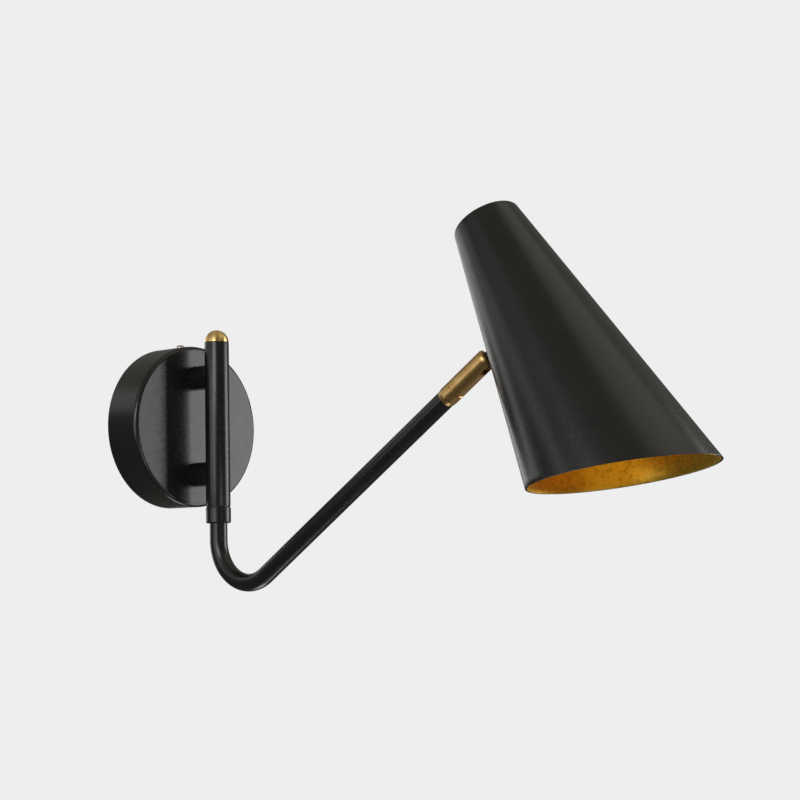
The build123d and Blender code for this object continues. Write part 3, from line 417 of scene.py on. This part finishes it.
# Shade
# A cone spun from sheet steel, closed by a flat top with a soft edge and cut off at a slant at the mouth. The
# outside is coated black; the cut edge is dressed to a slight round.
shade_top_radius = 0.0228
shade_half_angle = radians(10.1)
shade_length = 0.200
shade_cut = radians(21.6)
shade_wall = 0.001
shade_edge = 0.0025
shade_lip = 0.0003
shade_tilt = radians(30.4)
shade_innermost = 0.1
shade_points = 256
stud_below_top = 0.0804
pin_to_shade = 0.0141
tilt_joint = next(joint for joint in frame["joints"] if joint["name"] == "shade_tilt")
stud_rise = shade_tilt - shade_half_angle
stud_way = np.array((0.0, -cos(stud_rise), sin(stud_rise)))
shade_out = np.array((0.0, -cos(shade_tilt), sin(shade_tilt)))
shade_down = np.array((0.0, -sin(shade_tilt), -cos(shade_tilt)))
radius_at_stud = shade_top_radius + tan(shade_half_angle) * stud_below_top
stud_foot = np.array(tilt_joint["pos_m"]) + pin_to_shade * stud_way
shade_top = stud_foot - stud_below_top * shade_down + radius_at_stud * shade_out


def cone_skin(inset, setback, top_steps=6, edge_steps=9, wall_steps=48):
    """Radius and depth, top to mouth, of the surface that lies inset within the cone. The flat top runs into
    the wall by an arc. The wall ends on the slanted cut, at depth (L + T r0 cos t) / (1 - T k cos t), where
    r0 is the top radius, k the cone's slope, T the cut's and L the length, less the setback."""
    t = np.linspace(0.0, 2 * pi, shade_points, endpoint=False)
    level = np.ones(shade_points)
    slope = tan(shade_half_angle)
    top_radius = shade_top_radius - inset / cos(shade_half_angle)
    cut_slope = tan(shade_cut) * np.cos(t)
    wall_end = (shade_length - setback + cut_slope * top_radius) / (1 - cut_slope * slope)
    arc_end = shade_top_radius + slope * shade_edge * (1 - sin(shade_half_angle))
    arc_middle = arc_end - shade_edge * cos(shade_half_angle)
    lean = np.linspace(-pi / 2, -shade_half_angle, edge_steps)[:, None]
    arc_radius = arc_middle + (shade_edge - inset) * np.cos(lean)
    arc_depth = shade_edge + (shade_edge - inset) * np.sin(lean)
    flat_radius = np.linspace(shade_innermost, 1.0, top_steps)[:-1, None] * arc_middle
    flat_depth = np.full((top_steps - 1, 1), inset)
    step = np.linspace(0.0, 1.0, wall_steps)[1:, None]
    wall_depth = arc_depth[-1] + step * (wall_end - arc_depth[-1])
    radius = np.vstack([flat_radius * level, arc_radius * level, top_radius + slope * wall_depth])
    depth = np.vstack([flat_depth * level, arc_depth * level, wall_depth])
    return radius, depth


def cone_shell(outer_inset, inner_inset, setback, lip, lip_steps=7):
    """A closed shell between two surfaces of the cone: down the outer one, round a half-ellipse lip on the
    cut, and back up the inner one."""
    outer = turned(*cone_skin(outer_inset, setback + lip), shade_top, shade_down, shade_out, shade_points)
    inner = turned(*cone_skin(inner_inset, setback + lip), shade_top, shade_down, shade_out, shade_points)
    bow = np.linspace(0.0, pi, lip_steps)[1:-1, None, None]
    middle = (outer[-1] + inner[-1]) / 2
    half = (outer[-1] - inner[-1]) / 2
    edge = middle + np.cos(bow) * half + np.sin(bow) * lip * shade_down
    return np.concatenate([outer, edge, inner[::-1]])


cone_shade = skinned("cone_shade", cone_shell(0.0, shade_wall, 0.0, shade_lip))
fit(cone_shade, black_coat, "black_coat", "shade_head", "shade")

# Gold leaf
# Leaf laid by hand over the whole inside of the shade and lacquered. It is mottled, with fine cracks and laps
# where one leaf meets the next, and stops just short of the rim.
leaf_inset = 0.0013
leaf_thickness = 0.0003
leaf_setback = 0.0002
leaf_lip = leaf_thickness / 4
leaf_crack = (0.60, 0.35, 0.03)
leaf_plain = (0.84, 0.52, 0.06)
leaf_bright = (0.95, 0.62, 0.09)
leaf_lap = (0.80, 0.48, 0.05)
gold_leaf = new_finish("gold_leaf", {"Metallic": 1.0})
mottle = add_noise(gold_leaf, cells=380, detail=5.0, distortion=0.6)
leaf_colours = (leaf_crack, leaf_plain, leaf_bright, leaf_lap)
vary(gold_leaf, "Base Color", mottle, leaf_colours, places=(0.28, 0.42, 0.58, 0.76))
vary(gold_leaf, "Roughness", mottle, (0.46, 0.35))
add_relief(gold_leaf, add_noise(gold_leaf, cells=340, detail=4.0), depth=0.0002)
leaf_rings = cone_shell(leaf_inset, leaf_inset + leaf_thickness, leaf_setback, leaf_lip)
leaf_lining = skinned("leaf_lining", leaf_rings)
fit(leaf_lining, gold_leaf, "gold_leaf", "shade_head", "shade_lining")

# Holder bracket and its fastenings
# A bent steel strip under the stud's nut reaches up and across to the shade's middle. A hollow nipple and nut
# hold the lampholder on it. All are zinc plated.
dress(zinc_steel, "saddle_washer", "stud_nut", "holder_bracket", "holder_nipple", "nipple_nut")

# Lampholder
# A small screw lampholder in two mouldings, cap and body, black and heat resistant, fluted for the grip. A
# sleeve of thin brass with a rolled thread takes the bulb, and a brass contact stands in the floor behind it.
holder_top = 0.04582
holder_joint = 0.0618
holder_end = 0.0918
holder_radius = 0.0125
holder_seam = 0.00002
cap_shoulder = 0.004
cap_bore = 0.0112
cap_floor = 0.0488
cap_nipple_bore = 0.00505
cap_sleeve_radius = 0.00635
cap_sleeve_end = 0.0548
body_spigot_radius = 0.01118
body_spigot_top = 0.0588
body_floor = 0.0648
body_bore = 0.00777
body_edge = 0.0006
sleeve_outer = 0.00775
sleeve_end = 0.0898
sleeve_metal = 0.00025
bulb_thread_pitch = 0.00282
bulb_thread_depth = 0.00035
flute_count = 36
flute_depth = 0.00035
flute_fade = 0.0025
flute_points = 8
contact_deep = (0.60, 0.42, 0.17)
contact_pale = (0.72, 0.53, 0.24)


def arc_points(middle_radius, middle_along, size, first_angle, last_angle, steps=7):
    """Radius and depth along a circular arc, from one angle to another, about a middle."""
    angle = np.linspace(radians(first_angle), radians(last_angle), steps)
    return np.stack([middle_radius + size * np.cos(angle), middle_along + size * np.sin(angle)], axis=-1)


def straight_points(radius, first, last, steps):
    """Radius and depth down a straight wall."""
    return np.stack([np.full(steps, radius), np.linspace(first, last, steps)], axis=-1)


def fluted(outline, outer_wall, first, last):
    """Rings of a moulding whose outer wall is cut with flutes: radius - depth * (1 - cos(flutes * t)) / 2.
    The depth grows smoothly from nothing over the fade at each end of the stretch from first to last."""
    t = np.linspace(0.0, 2 * pi, flute_count * flute_points, endpoint=False)
    radius, along = outline[:, :1], outline[:, 1:]
    inside = np.clip(np.minimum(along - first, last - along) / flute_fade, 0.0, 1.0)
    deep = flute_depth * inside ** 2 * (3 - 2 * inside) * outer_wall[:, None]
    cut = radius - deep * (1 - np.cos(flute_count * t)) / 2
    return turned(cut, along, shade_top, shade_down, shade_out, len(t))


def cap_rings():
    """Up the nipple bore, over the flat top and its round shoulder, down the fluted outside, and back up the
    inside round the inner sleeve."""
    shoulder_end = holder_top + cap_shoulder
    outline = np.vstack([
        [(cap_nipple_bore, cap_sleeve_end), (cap_nipple_bore, holder_top)],
        arc_points(holder_radius - cap_shoulder, shoulder_end, cap_shoulder, -90, 0),
        straight_points(holder_radius, shoulder_end, holder_joint, steps=24)[1:],
        [(cap_bore, holder_joint), (cap_bore, cap_floor)],
        [(cap_sleeve_radius, cap_floor), (cap_sleeve_radius, cap_sleeve_end)],
    ])
    return fluted(outline, outline[:, 0] > cap_bore, shoulder_end, holder_joint)


def body_rings():
    """Down the spigot and the fluted outside, round the soft end, and up the bore to the floor."""
    body_top = holder_joint + holder_seam
    edge_start = holder_end - body_edge
    outline = np.vstack([
        [(body_spigot_radius, body_spigot_top), (body_spigot_radius, body_top)],
        straight_points(holder_radius, body_top, edge_start, steps=40),
        arc_points(holder_radius - body_edge, edge_start, body_edge, 0, 90)[1:],
        arc_points(body_bore + body_edge, edge_start, body_edge, 90, 180),
        [(body_bore, body_floor)],
    ])
    return fluted(outline, outline[:, 0] > body_spigot_radius, holder_joint, edge_start)


def rolled_thread(crest, along, depth, count):
    """A rounded thread rolled in thin metal: crest - depth * (1 + cos(2 pi along / pitch - t)) / 2."""
    t = np.linspace(0.0, 2 * pi, count, endpoint=False)
    return crest - depth * (1 + np.cos(2 * pi * along[:, None] / bulb_thread_pitch - t)) / 2


def sleeve_rings(count=96, steps=110):
    """The threaded sleeve: down its outside and back up its inside, the metal's thickness further in."""
    along = np.linspace(body_floor, sleeve_end, steps)
    outside = rolled_thread(sleeve_outer, along, bulb_thread_depth, count)
    radius = np.concatenate([outside, (outside - sleeve_metal)[::-1]])
    depth = np.concatenate([along, along[::-1]])[:, None]
    return turned(radius, depth, shade_top, shade_down, shade_out, count)


ribbed_cap = skinned("ribbed_cap", cap_rings(), looped=True)
fit(ribbed_cap, black_moulding, "black_moulding", "shade_head", "lampholder_cap")
ribbed_body = skinned("ribbed_body", body_rings())
fit(ribbed_body, black_moulding, "black_moulding", "shade_head", "lampholder_body")
contact_brass = new_finish("contact_brass", {"Metallic": 1.0})
drawn = add_noise(contact_brass, cells=300)
vary(contact_brass, "Base Color", drawn, (contact_deep, contact_pale))
vary(contact_brass, "Roughness", drawn, (0.3, 0.42))
screw_sleeve = skinned("screw_sleeve", sleeve_rings(), looped=True, crease=60.0)
fit(screw_sleeve, contact_brass, "contact_brass", "shade_head", "screw_shell")
dress(contact_brass, "centre_contact")

# Bulb
# A small round bulb: an opal globe, blown with a neck that flows into the ball, and a thin plated metal cap
# with the same rolled thread as the sleeve.
globe_radius = 0.0225
globe_middle = 0.12172
globe_top = 0.09262
globe_neck_radius = 0.0085
globe_neck_slope = 0.5034
globe_blend = 0.002
globe_close = 0.995
cap_crest = 0.00695
cap_tip = 0.06622
cap_tip_radius = 0.0024
cap_tip_end = 0.06772
cap_thread_start = 0.07072
cap_end = 0.0926
cap_skirt = 0.003
opal_shade = (0.80, 0.79, 0.75)
opal_light = (0.84, 0.83, 0.80)


def globe_rings(count=96, steps=60):
    """Radius r(l) along the bulb: (c + s + sqrt((c - s)^2 + k^2)) / 2, a smooth maximum of the neck's cone c
    and the ball's s = sqrt(R^2 - (l - middle)^2). It goes over to s by the cube of the way to the ball's
    middle. The rings crowd together towards the end, where a fan closes the ball."""
    swing = np.linspace(0.0, 1.0, steps)
    length = globe_middle + globe_radius - globe_top
    along = globe_top + length * np.sin(swing * pi / 2 * globe_close)
    ball = np.sqrt(np.maximum(globe_radius ** 2 - (along - globe_middle) ** 2, 0.0))
    neck = globe_neck_radius + globe_neck_slope * (along - globe_top)
    blended = (neck + ball + np.sqrt((neck - ball) ** 2 + globe_blend ** 2)) / 2
    over = np.clip((along - globe_top) / (globe_middle - globe_top), 0.0, 1.0) ** 3
    radius = (1 - over) * np.minimum(blended, globe_radius) + over * ball
    return turned(radius[:, None], along[:, None], shade_top, shade_down, shade_out, count)


def bulb_cap_rings(count=96, steps=90):
    """Out from the tip over a cone to the thread, whose depth dies away over the plain skirt next to the
    globe."""
    thread_along = np.linspace(cap_thread_start, cap_end, steps)
    dying = np.clip((cap_end - thread_along) / cap_skirt, 0.0, 1.0)[:, None]
    thread_radius = rolled_thread(cap_crest, thread_along, bulb_thread_depth * dying, count)
    tip_radius = np.array([cap_tip_radius / 2, cap_tip_radius, cap_tip_radius])[:, None]
    radius = np.vstack([tip_radius * np.ones(count), thread_radius])
    along = np.concatenate([[cap_tip, cap_tip, cap_tip_end], thread_along])[:, None]
    return turned(radius, along, shade_top, shade_down, shade_out, count)


opal = new_finish("opal", {"IOR": 1.5, "Subsurface Weight": 0.25, "Subsurface Scale": 0.004})
milk = add_noise(opal, cells=60)
vary(opal, "Base Color", milk, (opal_shade, opal_light))
vary(opal, "Roughness", milk, (0.16, 0.22))
opal_bulb = skinned("opal_bulb", globe_rings())
fit(opal_bulb, opal, "opal_globe", "shade_head", "bulb_globe")
threaded_cap = skinned("threaded_cap", bulb_cap_rings())
fit(threaded_cap, zinc_steel, "zinc_steel", "shade_head", "bulb_cap")

# Studio
# A pale room: one grey all round, a pale floor well below the light that takes its shadow, and large soft
# lamps. The black coat mirrors the lamps and a dimmer room, so that its edges stay dark.
pale = 0.855
view_turn = radians(-48.05)
view_rise = radians(-4.87)
view_roll = radians(1.05)
view_distance = 1.5
view_aim_right = 0.13474
view_aim_up = 0.01823
view_lens = 91.44
view_film = 36.0
level_right = Vector((cos(view_turn), sin(view_turn), 0.0))
backward = Vector((sin(view_turn) * cos(view_rise), -cos(view_turn) * cos(view_rise), sin(view_rise)))
level_up = backward.cross(level_right)
right = cos(view_roll) * level_right - sin(view_roll) * level_up
up = sin(view_roll) * level_right + cos(view_roll) * level_up
stand = Vector(pivot_foot) + view_aim_right * right + view_aim_up * up + view_distance * backward
camera_data = bpy.data.cameras.new("camera")
camera_data.sensor_width = view_film
camera_data.lens = view_lens
camera = bpy.data.objects.new("camera", camera_data)
camera.matrix_world = Matrix.Translation(stand) @ Matrix((right, up, backward)).transposed().to_4x4()
bpy.context.scene.collection.objects.link(camera)
bpy.context.scene.camera = camera

floor_height = -1.2
floor_radius = 4.0
floor_innermost = 0.02
floor_thickness = 0.01
floor_clear = 0.6
floor_fade = 2.2
floor_glow = 0.5
floor_grey = (0.8, 0.8, 0.8, 1.0)


def floor_rings(count=96, steps=24):
    """A flat disc about a point under the light: circles out along its top, and back along its underside."""
    radius = np.linspace(floor_innermost, floor_radius, steps)
    there_and_back = np.concatenate([radius, radius[::-1]])[:, None]
    drop = np.repeat([0.0, -floor_thickness], steps)[:, None]
    return turned(there_and_back, drop, floor_height * upward, upward, across, count)


floor = skinned("floor", floor_rings())
floor_paint = new_finish("floor_paint", {"Roughness": 0.8, "Base Color": floor_grey})
paint_nodes, paint_links = floor_paint.node_tree.nodes, floor_paint.node_tree.links
floor_point = paint_nodes.new("ShaderNodeTexCoord")
distance = paint_nodes.new("ShaderNodeVectorMath")
distance.operation = "LENGTH"
fade = paint_nodes.new("ShaderNodeMapRange")
fade.interpolation_type = "SMOOTHSTEP"
fade.inputs["From Min"].default_value = floor_clear
fade.inputs["From Max"].default_value = floor_fade
fade.inputs["To Min"].default_value = floor_glow
far_floor = paint_nodes.new("ShaderNodeEmission")
far_floor.inputs["Color"].default_value = (pale, pale, pale, 1.0)
near_or_far = paint_nodes.new("ShaderNodeMixShader")
paint_links.new(floor_point.outputs["Object"], distance.inputs[0])
paint_links.new(distance.outputs["Value"], fade.inputs["Value"])
paint_links.new(fade.outputs["Result"], near_or_far.inputs["Fac"])
paint_links.new(paint_nodes["Principled BSDF"].outputs["BSDF"], near_or_far.inputs[1])
paint_links.new(far_floor.outputs["Emission"], near_or_far.inputs[2])
paint_links.new(near_or_far.outputs["Shader"], paint_nodes["Material Output"].inputs["Surface"])
floor.data.materials.append(floor_paint)
floor.visible_glossy = False


def add_softbox(name, stands, aims, width, height, brightness):
    """A large soft lamp at one point that faces another. A brightness of 1 makes its face as bright as
    white."""
    lamp = bpy.data.lights.new(name, "AREA")
    lamp.shape = "RECTANGLE"
    lamp.size = width
    lamp.size_y = height
    lamp.energy = brightness * pi * width * height
    softbox = bpy.data.objects.new(name, lamp)
    softbox.location = stands
    softbox.visible_camera = False
    softbox.rotation_euler = (Vector(aims) - Vector(stands)).to_track_quat("-Z", "Y").to_euler()
    bpy.context.scene.collection.objects.link(softbox)
    return lamp


warm_white = (1.0, 0.96, 0.84)
light_middle = (0.0, -0.2, 0.0)
shade_middle = (0.0, -0.36, 0.05)
mouth_middle = (0.0, -0.41, -0.05)
# On the right, for the light side of shade and tube, the leaf, and the dome
add_softbox("right_softbox", (0.87, -0.70, 0.0), light_middle, 0.6, 0.7, 4.0)
add_softbox("low_right_softbox", (0.68, -0.77, -0.69), mouth_middle, 0.6, 0.5, 4.0)
add_softbox("high_right_softbox", (0.86, -0.74, 0.53), light_middle, 0.3, 0.3, 2.0)
# On the left, for the canopy's face, and for the narrow highlights on tube, dome and knuckle
add_softbox("left_softbox", (-0.99, -0.10, 0.05), light_middle, 1.0, 0.5, 1.1)
add_softbox("left_strip", (-1.0, -0.27, 0.05), light_middle, 0.4, 0.5, 1.5)
add_softbox("high_left_softbox", (-0.86, -0.43, 0.31), light_middle, 0.45, 0.25, 5.0)
# Behind, beside and above, for the soft edges of the shade and of the canopy
add_softbox("left_back_softbox", (-0.39, 0.54, 0.32), shade_middle, 1.0, 0.22, 0.6)
add_softbox("left_top_softbox", (-0.73, 0.07, 0.60), shade_middle, 0.6, 0.4, 0.2)
top_lamp = add_softbox("top_softbox", (0.26, -0.75, 0.93), shade_middle, 0.8, 0.6, 0.5)
top_lamp.color = warm_white
add_softbox("back_softbox", (0.20, 0.80, 0.05), light_middle, 1.1, 0.5, 1.0)
add_softbox("side_strip", (-0.84, 0.27, 0.07), light_middle, 0.25, 0.4, 0.5)
# Below, into the mouth, for the leaf
add_softbox("mouth_softbox", (-0.30, -1.35, -0.45), mouth_middle, 0.5, 0.4, 3.5)
add_softbox("under_softbox", (0.30, 0.20, -1.0), mouth_middle, 0.4, 0.4, 4.0)

low_gloss = 0.07
high_gloss = 0.32
gloss_start = -0.1
fill_level = 0.3
world = bpy.data.worlds.new("room")
bpy.context.scene.world = world
world.use_nodes = True
room_nodes, room_links = world.node_tree.nodes, world.node_tree.links
room = room_nodes["Background"]
room.inputs["Color"].default_value = (*warm_white, 1.0)
backdrop = room_nodes.new("ShaderNodeBackground")
backdrop.inputs["Color"].default_value = (pale, pale, pale, 1.0)
way = room_nodes.new("ShaderNodeTexCoord")
rise = room_nodes.new("ShaderNodeVectorMath")
rise.operation = "DOT_PRODUCT"
rise.inputs[1].default_value = upward
gloss_level = room_nodes.new("ShaderNodeMapRange")
gloss_level.interpolation_type = "SMOOTHSTEP"
gloss_level.inputs["From Min"].default_value = gloss_start
gloss_level.inputs["From Max"].default_value = 1.0
gloss_level.inputs["To Min"].default_value = low_gloss
gloss_level.inputs["To Max"].default_value = high_gloss
ray = room_nodes.new("ShaderNodeLightPath")
seen_in_gloss = room_nodes.new("ShaderNodeMath")
seen_in_gloss.operation = "MAXIMUM"
room_level = room_nodes.new("ShaderNodeMix")
room_level.inputs["A"].default_value = fill_level
seen_by_camera = room_nodes.new("ShaderNodeMixShader")
room_links.new(way.outputs["Generated"], rise.inputs[0])
room_links.new(rise.outputs["Value"], gloss_level.inputs["Value"])
room_links.new(ray.outputs["Is Glossy Ray"], seen_in_gloss.inputs[0])
room_links.new(ray.outputs["Is Transmission Ray"], seen_in_gloss.inputs[1])
room_links.new(seen_in_gloss.outputs["Value"], room_level.inputs["Factor"])
room_links.new(gloss_level.outputs["Result"], room_level.inputs["B"])
room_links.new(room_level.outputs["Result"], room.inputs["Strength"])
room_links.new(ray.outputs["Is Camera Ray"], seen_by_camera.inputs["Fac"])
room_links.new(room.outputs["Background"], seen_by_camera.inputs[1])
room_links.new(backdrop.outputs["Background"], seen_by_camera.inputs[2])
room_links.new(seen_by_camera.outputs["Shader"], room_nodes["World Output"].inputs["Surface"])
bpy.context.scene.view_settings.view_transform = "Standard"
